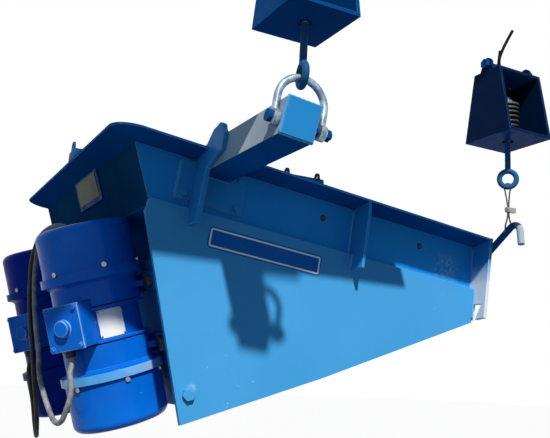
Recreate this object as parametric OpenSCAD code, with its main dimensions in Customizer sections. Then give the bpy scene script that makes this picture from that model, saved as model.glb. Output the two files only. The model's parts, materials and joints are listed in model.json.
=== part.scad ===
// Suspended vibratory feeder: an open pan on two wedge side frames, thrown
// forward by two unbalanced motors on a plate at its rear, and hung from four
// sprung hanger boxes. Millimetres, +Z is up, material runs along +X.

/* [Pan] */
// Slope of the whole pan, down towards its open front
decline = 6.9; // [0:0.1:12]
// Length from the foot of the rear wall to the outlet
pan_len = 984; // [800:2:1400]
// Width over the pan walls
pan_w = 960; // [860:10:1300]
// Height of the pan walls above the ledge
wall_h = 125; // [100:1:200]
// Thickness of the walls
pan_t = 8; // [5:0.5:12]
// Thickness of the floor
floor_t = 12; // [8:1:20]
// How far the rear wall leans back at its top
rear_lean = 60; // [0:1:100]

/* [Rim] */
// How far the flared rim stands out from the walls
rim_w = 66; // [30:1:90]
// How far its edge rises
rim_rise = 13; // [0:1:25]
// Thickness of the rim plate
rim_t = 6; // [4:0.5:10]
// Thickness of the outlet flange and of the wall ribs
flange_t = 10; // [6:1:16]

/* [Side frames] */
// Thickness of each wedge plate
frame_t = 12; // [8:1:20]
// How far its face stands proud of the pan wall
frame_proud = 20; // [16:1:30]
// Depth of the wedge at its rear foot
frame_deep = 485; // [440:5:600]
// Distance of the rear foot forward of the rear top corner
frame_foot = 171; // [120:1:240]
// Depth of the wedge at its nose
frame_nose = 96; // [60:1:140]
// Diameter of the cross tubes
cross_d = 60; // [40:1:80]

/* [Arms] */
// Side of the square arm tube
arm_s = 75; // [60:1:100]
// Wall of the arm tube
arm_t = 5; // [3:0.5:8]
// Position of the arm tube along the pan
arm_u = 110; // [90:1:300]
// Reach of the arm beyond the pan wall
arm_reach = 405; // [300:5:500]
// Height of the arm's underside above the ledge
arm_h = 91; // [70:1:110]
// Slant of the arm's end
arm_slant = 16; // [0:1:30]
// Thickness of the doubler plate under each arm
pad_t = 8; // [4:1:12]
// Thickness of the arm gussets
gusset_t = 12; // [8:1:20]

/* [Hangers] */
// Diameter of the hanger rods
rod_d = 16; // [12:1:22]
// Mean radius of an eye
eye_r = 23; // [21:0.5:30]
// Bar of an eye
eye_bar = 15; // [12:0.5:18]
// Diameter of the shackle bar and of its pin
shackle_d = 16; // [12:1:18]
// Width between the legs of a shackle
shackle_w = 92; // [92:1:110]
// Length of a shackle from its pin to its crown
shackle_l = 100; // [90:1:130]
// Bar of the outlet hooks
hook_bar = 19; // [14:1:24]
// Bend radius of the outlet hooks
hook_r = 23; // [20:1:32]
// Length of the wire slings from hook to eye
sling_l = 147; // [110:1:200]
// Diameter of the sling wire
sling_d = 4.4; // [3:0.1:8]

// How much shorter the rods on the far side are
far_short = 67; // [0:1:68]

/* [Spring boxes] */
// Width of a box along the pan
box_x = 156; // [130:1:200]
// Width of a box across the pan, at its base
box_y = 176; // [130:1:220]
// Height of a box
box_h = 198; // [158:1:220]
// Width of its top as a share of its base
box_taper = 0.57; // [0.4:0.01:0.9]
// Plate thickness of a box
box_t = 8; // [5:0.5:12]
// Radius of a hanging hole
ear_r = 8.5; // [6:0.5:11]
// Outside diameter of a spring
spring_d = 67; // [56:1:90]
// Wire of a spring
wire_d = 8; // [5:0.5:11]
// Loaded length of a spring
spring_l = 96; // [80:1:104]
// Turns of a spring
coils = 7.5; // [5:0.5:9]

/* [Motors] */
// Distance of each motor from the middle of the feeder
motor_y = 255; // [220:1:330]
// Outside radius of the weight covers
cover_r = 116; // [108:1:130]
// Length of one weight cover
cover_l = 116; // [100:1:140]
// Length of the motor body between its covers
body_l = 260; // [220:1:290]
// Height of the motor shafts above the drive plate
shaft_h = 132; // [128:1:170]
// Distance of the drive plate inside the rear edge of the side frames
plate_in = 63; // [50:1:90]
// Lean of the motors beyond the rake of the side frames, in degrees
motor_lean = 3; // [0:0.5:5]
// Radius of the shaft at its bearings
shaft_r = 24; // [16:1:30]
// Radial running clearance between shaft and bearing
run_fit = 0.05; // [0.02:0.01:0.08]
// Diameter of the motor cables
cable_d = 13; // [9:0.5:15]

/* [Hidden] */
$fn = 64;
gap = 0.3;                              // left between seated round parts
wall_y = pan_w / 2;                     // outer face of a pan wall
side_y = wall_y + frame_proud;          // outer face of a wedge plate
side_in = side_y - frame_t;             // its inner face
back_u = pan_len - flange_t;            // rear face of the outlet flange
rake = atan((frame_foot + 7) / (frame_deep - 32));   // lean of the drive end
drive_u = (frame_foot - 7) / 2;         // middle of the raked rear edge
drive_h = -(frame_deep + 32) / 2;
plate_t = 20;
plate_lo = -232;
plate_hi = 138;
// a point of the drive frame, in the pan frame's (along, up)
function dp(x, z) = let (a = rake + motor_lean) [drive_u + x * cos(a) - z * sin(a), drive_h + x * sin(a) + z * cos(a)];
function wx(u, h) = u * cos(decline) + h * sin(decline);
function wz(u, h) = -u * sin(decline) + h * cos(decline);

// rear hanger line: pin, shackle crown, eye, rod, spring and box
pin_u = arm_u + arm_s / 2;
pin_h = arm_h + arm_s / 2 - 3;
pin_y = wall_y + arm_reach - 15;
bow_r = (shackle_w + shackle_d) / 2;
bow_u = arm_u - 1.5 - shackle_d / 2 + bow_r;   // its rear leg hangs close to the tube
bow_h = pin_h + shackle_l - bow_r;      // centre of the crown's bend
rear_x = wx(bow_u, bow_h);
eye_in = eye_r - eye_bar / 2;
rear_eye_z = wz(bow_u, bow_h) + bow_r + eye_in - shackle_d / 2 - gap;
rear_z = rear_eye_z + 112;              // underside of the rear boxes
// front hanger line: hook, sling, eye, rod, spring and box
hook_u = pan_len + hook_bar / 2 + 0.2;
hook_y = wall_y + 135;                  // centre of the hook's bend
hook_h = 153;
hook_a = 39;                            // climb of its straight part
sling_in = 9;                           // from the start of the bend back to the sling
sling_y = hook_y - hook_r * sin(hook_a) - sling_in * cos(hook_a);
sling_h = hook_h + hook_r * cos(hook_a) - sling_in * sin(hook_a);
front_x = wx(hook_u, sling_h);
hook_z = wz(hook_u, sling_h);           // centre line of the hook under the sling
front_eye_z = hook_z + sling_l;
front_z = front_eye_z + 110;             // underside of the front boxes
ear_z = 19;                             // hanging hole above the top of a box
// row frame: the near rear box's hanging hole is the origin
org = [rear_x, -pin_y, rear_z + box_h + ear_z];
hangers = [[rear_x, -pin_y, rear_z], [rear_x, pin_y, rear_z - far_short],
  [front_x, -sling_y, front_z], [front_x, sling_y, front_z - far_short]];
seat_t = 6;                             // washer on top of a spring
nut_t = 13;
nut_r = rod_d * 0.94;

// motors
body_mid = 9.6;                         // middle of a motor along the drive plate
shaft_x = plate_in - shaft_h;
half = body_l / 2;
barrel_r = 96;
stator_r = 74;
core_r = 46;
seat_r = 44;                            // outside of a bearing
box_low = -42;                          // terminal box, from the middle of a motor
tb_x = -barrel_r + 13.9;                // its back, from the axis
tb_w = 92;
tb_turn = 40;                           // turned towards the near side, for access
gland_d = [tb_x - 45, 14];              // where a cable leaves a terminal box, before its turn
gland_z = body_mid + box_low + 2;
function gland_at(s) = [shaft_x + gland_d[0] * cos(tb_turn) - gland_d[1] * sin(tb_turn),
  s * motor_y + gland_d[0] * sin(tb_turn) + gland_d[1] * cos(tb_turn)];
jb = [-22, 22];                         // glands of the junction box
// cable routes in the drive frame: gland, hanging loop, rise between the motors, junction box
// points of a cable as it leaves a motor's gland, and as it enters the junction box
function leaving(s) = let (g = gland_at(s)) [for (p = [[0, -2], [0, -18], [0, -28], [-14, -56], [-18, -88]])
  [g[0] + p[0] * 0.85, g[1] + p[0] * 0.53, gland_z + p[1]]];
function entering(y) = [for (z = [160, 130, 100]) [plate_in - 54 - gap, y, z]];
near_way = concat(leaving(-1), [[-212, -326, -166], [-222, -300, -188], [-228, -262, -188],
  [-229, -222, -154], [-225, -180, -118], [-215, -125, -81], [-194, -62, -30],
  [-178, -14, 47], [-162, 4, 125], [-139, 16, 208], [-114, 18, 264], [-77, 4, 294],
  [-35, -12, 278], [2, -20, 228]], entering(jb[0]));
far_way = concat(leaving(1), [[-198, 154, -180], [-206, 140, -230], [-214, 108, -261],
  [-217, 70, -245], [-210, 48, -189], [-202, 38, -110],
  [-191, 34, -20], [-179, 34, 69], [-160, 38, 159], [-134, 46, 235], [-95, 48, 287], [-51, 40, 297],
  [-10, 28, 263], [11, 23, 208]], entering(jb[1]));

blue = [0.05, 0.30, 0.60];
motor_blue = [0.02, 0.18, 0.62];
zinc = [0.66, 0.70, 0.74];
steel = [0.45, 0.46, 0.48];
black = [0.05, 0.05, 0.06];

// ------------------------------------------------------------ placement
module in_row() { translate(-org) children(); }
// pan frame: along the sloping pan, across it, square to its floor
module in_pan() { in_row() rotate([0, decline, 0]) children(); }
// drive frame: z runs up the motor shafts, x = 0 is the side frames' rear edge
module drive() { translate([drive_u, 0, drive_h]) rotate([0, -rake - motor_lean, 0]) children(); }
module in_drive() { in_pan() drive() children(); }
module both_sides() { children(); mirror([0, 1, 0]) children(); }
module sided(s) { if (s < 0) mirror([0, 1, 0]) children(); else children(); }
// an (along, up) profile, t thick from y0 outwards
module side_slab(y0, t) { translate([0, y0 + t, 0]) rotate([90, 0, 0]) linear_extrude(t) children(); }
// an (outward from the far wall, up) profile, t thick along the pan from u0
module cross_slab(u0, t) { translate([u0, wall_y, 0]) rotate([90, 0, 90]) linear_extrude(t) children(); }
module hex_nut(t, r, bore) { difference() { cylinder(r = r, h = t, $fn = 6); translate([0, 0, -1]) cylinder(r = bore, h = t + 2); } }
// hex bolt along +z: its head under z = 0, its shank above
module hex_bolt(d, l) { union() { translate([0, 0, -d * 0.65]) cylinder(r = d * 0.94, h = d * 0.65, $fn = 6); cylinder(d = d, h = l); } }
// smooth tube along points p, closed into a loop or with flat ends
module tube_on(p, r, n = 8, loop = false) {
  m = len(p);
  function along(i) = let (a = p[loop ? (i + m - 1) % m : max(i - 1, 0)],
    b = p[loop ? (i + 1) % m : min(i + 1, m - 1)]) (b - a) / norm(b - a);
  function ring(i) = let (d = along(i), a = cross(d, [0.91, 0.23, 0.34]), e = a / norm(a), f = cross(d, e))
    [for (k = [0:n - 1]) p[i] + r * (cos(k * 360 / n) * e + sin(k * 360 / n) * f)];
  skin = [for (i = [0:(loop ? m - 1 : m - 2)], k = [0:n - 1]) let (j = (i + 1) % m, l = (k + 1) % n)
    each [[i * n + k, j * n + l, j * n + k], [i * n + k, i * n + l, j * n + l]]];
  ends = loop ? [] : [[for (k = [n - 1:-1:0]) k], [for (k = [0:n - 1]) (m - 1) * n + k]];
  polyhedron([for (i = [0:m - 1]) each ring(i)], concat(skin, ends));
}
// points on a smooth curve through the given way-points
function smooth(p, steps) = [for (i = [0:len(p) - 2], s = [0:steps - 1]) let (t = s / steps,
    a = p[max(i - 1, 0)], b = p[i], c = p[i + 1], d = p[min(i + 2, len(p) - 1)])
    0.5 * (2 * b + (c - a) * t + (2 * a - 5 * b + 4 * c - d) * t * t + (3 * b - a - 3 * c + d) * t * t * t),
  p[len(p) - 1]];

// ------------------------------------------------------------------- pan
// two walls, a rear wall that leans back and a floor, open at the outlet
module pan() color(blue) in_pan() {
  foot = rear_lean / wall_h * floor_t;
  both_sides() side_slab(wall_y - pan_t, pan_t)
    polygon([[-rear_lean, wall_h], [back_u, wall_h], [back_u, -floor_t], [foot, -floor_t]]);
  lean_t = pan_t / cos(atan(rear_lean / wall_h));
  side_slab(-wall_y + pan_t / 2, pan_w - pan_t)
    polygon([[-rear_lean, wall_h], [lean_t - rear_lean, wall_h], [lean_t, 0], [back_u, 0],
      [back_u, -floor_t], [foot, -floor_t]]);
}

// the rim's section, outward and up from the top of a wall
module rim_section() polygon([[-pan_t, 0], [0, 0], [rim_w, rim_rise], [rim_w, rim_rise + rim_t], [0, rim_t], [-pan_t, rim_t]]);
module rim() color(blue) in_pan() translate([0, 0, wall_h]) difference() {
  union() {
    both_sides() translate([-rear_lean, wall_y, 0]) rotate([90, 0, 90]) linear_extrude(rear_lean + back_u) rim_section();
    translate([-rear_lean, wall_y, 0]) rotate([90, 0, 0]) linear_extrude(pan_w) mirror([1, 0]) rim_section();
    // conical corners
    both_sides() translate([-rear_lean, wall_y, 0]) rotate([0, 0, 90]) rotate_extrude(angle = 90)
      intersection() { rim_section(); square([rim_w + 1, rim_rise + rim_t + 1]); }
  }
  // the arms and their gussets pass through
  both_sides() translate([arm_u - gusset_t, wall_y, -1]) cube([arm_s + gusset_t, rim_w + 1, rim_rise + rim_t + 2]);
}

// upright ribs halfway along the walls, notched over the side frames
module wall_ribs() color(blue) in_pan() both_sides() cross_slab(pan_len * 0.565, flange_t - 2)
  polygon([[0, 0], [frame_proud, 0], [frame_proud, -39], [rim_w + 6, -39], [rim_w + 6, wall_h - 6],
    [rim_w, wall_h + rim_rise], [0, wall_h]]);

// picture-frame flange round the outlet, with drooping wing tips
module outlet_flange() color(blue) in_pan() {
  tip = frame_nose - 8;
  both_sides() cross_slab(back_u, flange_t) polygon([[-pan_t, -tip], [frame_proud, -tip], [frame_proud, -45],
    [rim_w - 14, -45], [rim_w - 34, -tip], [rim_w + 2, 4 - tip], [rim_w + 2, wall_h + rim_rise + rim_t],
    [0, wall_h + rim_t], [-pan_t, wall_h + rim_t]]);
  translate([back_u, -wall_y + pan_t / 2, -tip]) cube([flange_t, pan_w - pan_t, tip]);
}

// ----------------------------------------------------------- side frames
// one wedge plate with the packing strip that carries the pan wall
module frame() {
  difference() {
    union() {
      side_slab(side_in, frame_t) polygon([[0, 0], [-7, -32], [frame_foot, -frame_deep],
        [517, 160 - frame_deep], [back_u, -frame_nose], [back_u, 0]]);
      side_slab(wall_y, frame_proud - frame_t + 1) polygon([[0, 0], [-3, -floor_t], [back_u, -floor_t], [back_u, 0]]);
    }
    drive() frame_hole() translate([0, 0, -frame_t - 1]) cylinder(r = 8.5, h = frame_t + 2);
  }
}
// where a bolt passes the wedge plate, z pointing outwards from its outer face
module frame_hole() { translate([20.5, side_y, -182.3]) rotate([-90, 0, 0]) children(); }
module frame_far() color(blue) in_pan() frame();
module frame_near() color(blue) in_pan() mirror([0, 1, 0]) frame();
module frame_bolts() color(steel) in_pan() both_sides() drive() frame_hole() {
  mirror([0, 0, 1]) hex_bolt(16, frame_t + 14);
  translate([0, 0, -frame_t - 11]) hex_nut(11, 15, 8.2);
}

module floor_ribs() color(blue) in_pan() for (u = [0.69, 0.87] * pan_len)
  translate([u, -side_in, -floor_t - 50]) cube([flange_t, 2 * side_in, 50]);
module drive_plate() color(blue) in_pan() drive() difference() {
  translate([plate_in, -side_in, plate_lo]) cube([plate_t, 2 * side_in, plate_hi - plate_lo]);
  for (s = [-1, 1]) translate([plate_in - 1, s * motor_y, body_mid]) foot_holes() cylinder(r = 10.5, h = plate_t + 2);
}
module drive_webs() color(blue) in_pan() both_sides() side_slab(motor_y - 6, 12)
  polygon([dp(plate_in + plate_t, plate_lo + 17), dp(plate_in + plate_t, plate_hi),
    [dp(plate_in + plate_t, plate_hi)[0], -floor_t], [0.63 * pan_len, -floor_t], [0.61 * pan_len, -60]]);
module cross_tubes() color(blue) in_pan() for (p = [[0.45 * pan_len, -frame_deep * 0.6], [0.77 * pan_len, -frame_nose - 16]])
  translate([p[0], side_in, p[1]]) rotate([90, 0, 0]) difference() {
    cylinder(d = cross_d, h = 2 * side_in);
    translate([0, 0, -1]) cylinder(d = cross_d - 10, h = 2 * side_in + 2);
  }

// ------------------------------------------------------------------ arms
top_h = arm_h + arm_s;
slope = arm_slant / arm_s;
// square tube with a slanting end, drilled for the shackle pin
module arm() difference() {
  cross_slab(arm_u, arm_s) polygon([[pad_t, arm_h], [arm_reach, arm_h], [arm_reach + arm_slant, top_h], [pad_t, top_h]]);
  cross_slab(arm_u + arm_t, arm_s - 2 * arm_t) translate([pad_t - 1, arm_h + arm_t]) square([arm_reach + 60, arm_s - 2 * arm_t]);
  translate([arm_u - 1, pin_y, pin_h]) rotate([0, 90, 0]) cylinder(d = shackle_d + 2 * gap, h = arm_s + 2);
}
module arm_far() color(blue) in_pan() arm();
module arm_near() color(blue) in_pan() mirror([0, 1, 0]) arm();
module arm_caps() color(blue) in_pan() both_sides() cross_slab(arm_u, arm_s)
  polygon([[arm_reach, arm_h], [arm_reach + arm_t, arm_h], [arm_reach + arm_t + arm_slant, top_h], [arm_reach + arm_slant, top_h]]);
module arm_pads() color(blue) in_pan() both_sides() translate([arm_u - 50, wall_y, 22]) cube([arm_s + 97, pad_t, wall_h - 29]);
// stiffener on the rear of each arm, from the side frame up to a rounded lug
module arm_gussets() color(blue) in_pan() both_sides() cross_slab(arm_u - gusset_t, gusset_t) {
  polygon([[0, wall_h - 7], [pad_t, wall_h - 7], [pad_t, 22], [0, 22], [0, 0], [frame_proud, 0], [frame_proud, -40],
    [70, -40], [72, arm_h], [146, arm_h + 29], [146, arm_h + 69], [132, top_h + 10], [88, top_h + 22],
    [75, top_h + 19], [45, top_h - 16], [0, wall_h + rim_t]]);
  translate([108, top_h + 1]) circle(26);
}

// --------------------------------------------------------------- hangers
module at_rear_pins() { in_pan() both_sides() translate([bow_u, pin_y, 0]) children(); }
// bow shackles: two eyes on the pin, two legs and a round crown
module shackles() color(zinc) at_rear_pins() difference() {
  union() {
    translate([0, 0, bow_h]) rotate([90, 0, 0]) rotate_extrude(angle = 180) translate([bow_r, 0]) circle(d = shackle_d);
    for (s = [-1, 1]) translate([s * bow_r, 0, pin_h]) {
      cylinder(d = shackle_d - 0.2, h = bow_h - pin_h + 2);
      rotate([0, 90, 0]) cylinder(r = shackle_d + 1, h = shackle_d - 2, center = true);
    }
  }
  translate([0, 0, pin_h]) rotate([0, 90, 0]) cylinder(d = shackle_d + 2 * gap, h = 3 * bow_r, center = true);
}
module shackle_pins() color(zinc) at_rear_pins() translate([0, 0, pin_h]) rotate([0, 90, 0]) {
  end = bow_r + shackle_d / 2;
  union() {
    translate([0, 0, -end - gap - 8]) cylinder(r = 13, h = 8);
    translate([0, 0, -end - gap]) cylinder(d = shackle_d, h = 2 * end + 16);
  }
  translate([0, 0, end + gap]) hex_nut(11, 14, shackle_d / 2 + 0.2);
}

// round-bar hooks welded to the outlet flange, bent over outwards
module front_hooks() color(blue) in_pan() both_sides() translate([hook_u, hook_y, hook_h]) rotate([90, 0, 90]) {
  rotate([0, 0, 12]) rotate_extrude(angle = 78 + hook_a) translate([hook_r, 0]) circle(d = hook_bar);
  rotate([0, 0, 12]) translate([hook_r, 1.5, 0]) rotate([90, 0, 0]) cylinder(d = hook_bar - 0.2, h = 42);
  rotate([0, 0, 90 + hook_a]) translate([hook_r, -1.5, 0]) rotate([-90, 0, 0]) cylinder(d = hook_bar - 0.2, h = 118);
}

// one wire sling: under the hook, up both sides, over the bottom of the eye
eye_turn = 46;
function turned(x, a) = [x * cos(a), x * sin(a)];
sling_top = sling_l - eye_r;            // bottom bar of the eye above the hook's centre line
sling_way = let (a = hook_bar / 2 + sling_d / 2 + gap, b = eye_bar / 2 + sling_d / 2 + gap, c = sling_d / 2 + 0.7)
  concat([for (t = [180:20:360]) [a * cos(t), -a * sin(t) * sin(hook_a), a * sin(t) * cos(hook_a)]],
    [[a * 0.93, 0, 12], [c + 1.5, 0.6, 34], [c, 1, 50], [c, 1, 66]],
    [for (t = [-50:25:175]) let (q = turned(b * cos(t), -eye_turn)) [q[0], q[1], sling_top + b * sin(t)]],
    [for (t = [195]) let (q = turned(b * cos(t), -eye_turn)) [q[0], q[1], sling_top + b * sin(t)]],
    [[-c, -1, 66], [-c, -1, 50], [-c - 1.5, -0.6, 34], [-a * 0.93, 0, 12]]);
module at_front() { in_row() both_sides() translate([front_x, sling_y, hook_z]) children(); }
module slings() color(steel) at_front() tube_on(sling_way, sling_d / 2, 8, true);
// wire clip round the two falls of each sling
module sling_clips() color(zinc) at_front() translate([0, 0, 51]) difference() {
  translate([-8, -6, 0]) cube([32, 12, 14]);
  translate([-sling_d - 0.9, -sling_d / 2 - 1.4, -1]) cube([2 * sling_d + 1.8, sling_d + 2.8, 16]);
}

// forged eyes with their threaded rods, through the box and spring to the top
module eye_rod(z, turn, l) { translate([0, 0, z]) union() {
  rotate([0, 0, turn]) rotate([0, 90, 0]) rotate_extrude() translate([eye_r, 0]) circle(d = eye_bar);
  translate([0, 0, eye_r]) cylinder(d = rod_d, h = l - eye_r);
} }
rod_top = box_t + spring_l + seat_t + nut_t + 8;
module eye_rods() color(blue) in_row() for (k = [0:3]) let (rear = k < 2, p = hangers[k], z = rear ? rear_eye_z : front_eye_z)
  translate([p[0], p[1], 0]) eye_rod(z, (k % 2 ? -1 : 1) * (rear ? -12 : eye_turn), p[2] - z + rod_top);
module spring_seats() color(steel) in_row() for (p = hangers) translate(p + [0, 0, box_t + spring_l]) difference() {
  cylinder(d = spring_d + 3, h = seat_t);
  translate([0, 0, -1]) cylinder(d = rod_d + 2 * gap, h = seat_t + 2);
}
module rod_nuts() color(steel) in_row() for (p = hangers) translate(p + [0, 0, box_t + spring_l + seat_t]) hex_nut(nut_t, nut_r, rod_d / 2 + 0.2);

// coil spring with its end turns closed and ground flat
module coil(p) {
  n = 14;
  m = round(coils * n);
  r = (spring_d - wire_d) / 2;
  rise = (spring_l - wire_d) / (coils - 1.5);
  function z(t) = t < 0.75 ? 0 : t > coils - 0.75 ? spring_l - wire_d : (t - 0.75) * rise;
  pts = [for (i = [0:m]) let (t = i / n) [r * cos(360 * t), r * sin(360 * t), wire_d / 2 + z(t)]];
  color(steel) in_row() translate(p + [0, 0, box_t]) intersection() {
    tube_on(pts, wire_d / 2 * 1.02, 7);
    translate([0, 0, spring_l / 2]) cube([200, 200, spring_l - 0.1], center = true);
  }
}
module spring_rear_near() coil(hangers[0]);
module spring_rear_far() coil(hangers[1]);
module spring_front_near() coil(hangers[2]);
module spring_front_far() coil(hangers[3]);

// hanger box: two tapered plates with ears, a drilled base and a roof
module spring_box(p) {
  top_y = box_y * box_taper;
  color(blue) in_row() translate(p) {
    difference() {
      union() {
        for (x = [-box_x / 2, box_x / 2 - box_t]) translate([x, 0, 0]) rotate([90, 0, 90]) linear_extrude(box_t) {
          polygon([[-box_y / 2, 0], [box_y / 2, 0], [top_y / 2, box_h], [-top_y / 2, box_h]]);
          polygon([[-26, box_h - 1], [26, box_h - 1], [18, box_h + ear_z], [-18, box_h + ear_z]]);
          translate([0, box_h + ear_z]) circle(19);
        }
        translate([-box_x / 2 + 1, -box_y / 2, 0]) cube([box_x - 2, box_y, box_t]);
        translate([-box_x / 2 + 1, -top_y / 2, box_h - box_t]) cube([box_x - 2, top_y, box_t]);
      }
      translate([0, 0, -1]) cylinder(r = rod_d, h = box_t + 2);
      translate([-box_x / 2 - 1, 0, box_h + ear_z]) rotate([0, 90, 0]) cylinder(r = ear_r, h = box_x + 2);
    }
  }
}
module box_rear_near() spring_box(hangers[0]);
module box_rear_far() spring_box(hangers[1]);
module box_front_near() spring_box(hangers[2]);
module box_front_far() spring_box(hangers[3]);

// bolt through the near front ears, and the bight of lifting rope left on it
rope_r = 4.5;
module rope_pin() color(steel) in_row() translate(hangers[2] + [0, 0, box_h + ear_z]) rotate([0, 90, 0]) {
  translate([0, 0, -box_x / 2 - gap]) hex_bolt(16, box_x + 20);
  translate([0, 0, box_x / 2 + gap]) hex_nut(11, 15, 8.2);
}
module lifting_rope() color(black) in_row() translate(hangers[2] + [0, 0, box_h + ear_z]) {
  a = 8 + rope_r + gap;
  way_points = concat([[18, -20, 96], [10, -12, 82], [-12, -a + 0.5, 44], [-25, -a, 18]],
    [for (t = [180:30:360]) [-25 + (t - 180) / 9, a * cos(t), a * sin(t)]],
    [[-2, a + 0.3, 14], [3, a + 1, 34]]);
  tube_on(smooth(way_points, 2), rope_r, 8);
}

// ---------------------------------------------------------------- motors
// motor frame: z along the shaft, x towards the drive plate
module motor(s) { translate([shaft_x, s * motor_y, body_mid]) children(); }
module motors() { in_pan() drive() for (s = [-1, 1]) motor(s) children(); }
module foot_holes() { for (y = [-92, 92], z = [-76, 76]) translate([0, y, z]) rotate([0, 90, 0]) children(); }
cover_lap = 14;                         // spigot of the housing inside a cover
rim_r = cover_r - 4 - 0.2;
flange_r = cover_r + 8;
screw_turn = 30;
// cast housing with end flanges and spigots, two feet, rings and a bored barrel
module housing() difference() {
  union() {
    for (k = [-1, 1]) scale([1, 1, k]) rotate_extrude() polygon([[0, 0], [barrel_r, 0], [barrel_r, half - 87], [barrel_r + 10, half - 84],
      [barrel_r + 10, half - 30], [barrel_r + 16, half - 24], [flange_r, half - 20], [flange_r, half], [rim_r, half], [rim_r, half + cover_lap], [0, half + cover_lap]]);
    for (z = [-39, 39]) translate([0, 0, z - 3]) cylinder(r = barrel_r + 13, h = 6);
    for (z = [-76, 76]) {
      translate([shaft_h - 20, -118, z - 22]) cube([20, 236, 44]);
      translate([0, -70, z - 7]) cube([shaft_h - 19, 140, 14]);
    }
  }
  translate([0, 0, -half + 28]) cylinder(r = stator_r, h = body_l - 56);
  translate([0, 0, -half - cover_lap - 1]) cylinder(r = seat_r, h = body_l + 2 * cover_lap + 2);
  translate([shaft_h - 21, 0, 0]) foot_holes() cylinder(r = 10.5, h = 22);
  for (k = [0:5], z = [-1, 1]) rotate([0, 0, k * 60 + screw_turn]) translate([rim_r - 14, 0, z * (half + cover_lap / 2)]) rotate([0, 90, 0]) cylinder(r = 4.2, h = 20);
  // flat for the terminal box, with the wire passage behind it
  rotate([0, 0, tb_turn]) {
    translate([-barrel_r - 46, -tb_w / 2 - 1, box_low]) cube([60, tb_w + 2, 106]);
    translate([-barrel_r - 1, 0, box_low + 53]) rotate([0, 90, 0]) cylinder(r = 14, h = 40);
  }
}
module motor_near() color(motor_blue) in_pan() drive() motor(-1) housing();
module motor_far() color(motor_blue) in_pan() drive() motor(1) housing();
module stators() color(steel) motors() difference() {
  cylinder(r = stator_r - 0.05, h = 120, center = true);
  cylinder(r = core_r + 0.6, h = 122, center = true);
}
module bearings() color(zinc) motors() for (z = [-1, 1]) translate([0, 0, z * (half - 15)]) difference() {
  cylinder(r = seat_r - 0.05, h = 24, center = true);
  cylinder(r = shaft_r + run_fit, h = 26, center = true);
}
// drawn cup over the weights, rounded at its closed end
module cup(r, l) { rotate_extrude() union() {
  square([r - 20, l]);
  square([r, l - 20]);
  translate([r - 20, l - 20]) intersection() { circle(20); square(21); }
} }
module cover() difference() {
  translate([0, 0, half]) cup(cover_r, cover_l);
  translate([0, 0, half - 1]) cylinder(r = rim_r + 0.1, h = cover_lap + 1 + gap);
  translate([0, 0, half]) cylinder(r = cover_r - 8, h = cover_l - 14);
  for (k = [0:5]) rotate([0, 0, k * 60 + screw_turn]) translate([cover_r - 10, 0, half + cover_lap / 2]) rotate([0, 90, 0]) cylinder(r = 4.2, h = 20);
}
module covers(s) { color(motor_blue) in_pan() drive() motor(s) { cover(); mirror([0, 0, 1]) cover(); } }
module covers_near() covers(-1);
module covers_far() covers(1);
module cover_screws() color(steel) motors() for (k = [0:5], z = [-1, 1]) rotate([0, 0, k * 60 + screw_turn])
  translate([cover_r + 0.1, 0, z * (half + cover_lap / 2)]) rotate([0, -90, 0]) union() {
    translate([0, 0, -5]) cylinder(r = 6.5, h = 5, $fn = 6);
    cylinder(r = 4, h = 14);
  }
module foot_bolts() color(steel) motors() translate([shaft_h - 20 - gap, 0, 0]) foot_holes() {
  hex_bolt(20, 20 + plate_t + 24);
  translate([0, 0, 20 + plate_t + 2 * gap]) hex_nut(16, 18.8, 10.2);
}

// terminal box on the rear of each housing, its lid and its gland
module terminal_boxes() color(motor_blue) motors() rotate([0, 0, tb_turn]) translate([tb_x - 60, -tb_w / 2, box_low + 2]) difference() {
  cube([60, tb_w, 102]);
  translate([-1, 6, 6]) cube([55, tb_w - 12, 90]);
  translate([50, tb_w / 2, 51]) rotate([0, 90, 0]) cylinder(r = 14, h = 12);
  translate([15, tb_w / 2 + gland_d[1], -1]) cylinder(r = 10.3, h = 9);
}
module terminal_lids() color(motor_blue) motors() rotate([0, 0, tb_turn]) translate([tb_x - 60 - gap, 0, box_low + 53]) rotate([0, -90, 0]) {
  translate([-53, -tb_w / 2 - 2, 0]) cube([106, tb_w + 4, 8]);
  translate([0, 0, 8]) cylinder(r = 19, h = 12);
}
module junction_box() color(motor_blue) in_pan() drive() translate([plate_in - 78 - gap, -60, 24]) difference() {
  cube([78, 120, 74]);
  translate([5, 5, 5]) cube([68, 110, 64]);
  for (y = jb) translate([24, y + 60, 60]) cylinder(r = 10.3, h = 20);
}
module gland(bore) { difference() {
  union() { cylinder(r = 14, h = 9, $fn = 6); translate([0, 0, 9]) cylinder(r = 12, h = 9); translate([0, 0, -9]) cylinder(r = 10, h = 9.5); }
  translate([0, 0, -10]) cylinder(r = bore, h = 40);
} }
module cable_glands() color(black) {
  motors() rotate([0, 0, tb_turn]) translate([gland_d[0], gland_d[1], box_low + 2 - gap]) mirror([0, 0, 1]) gland(cable_d / 2 + gap);
  in_pan() drive() for (y = jb) translate([plate_in - 54 - gap, y, 98 + gap]) gland(cable_d / 2 + gap);
}
module cable_near() color(black) in_pan() drive() tube_on(smooth(near_way, 3), cable_d / 2, 8);
module cable_far() color(black) in_pan() drive() tube_on(smooth(far_way, 3), cable_d / 2, 8);

// rotor: shaft and core on one body with its unbalanced weights
module rotor(s) { color(steel) in_pan() drive() motor(s) union() {
  cylinder(r = shaft_r, h = body_l + 2 * cover_l - 28, center = true);
  cylinder(r = core_r, h = 112, center = true);
} }
module rotor_near() rotor(-1);
module rotor_far() rotor(1);
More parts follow.
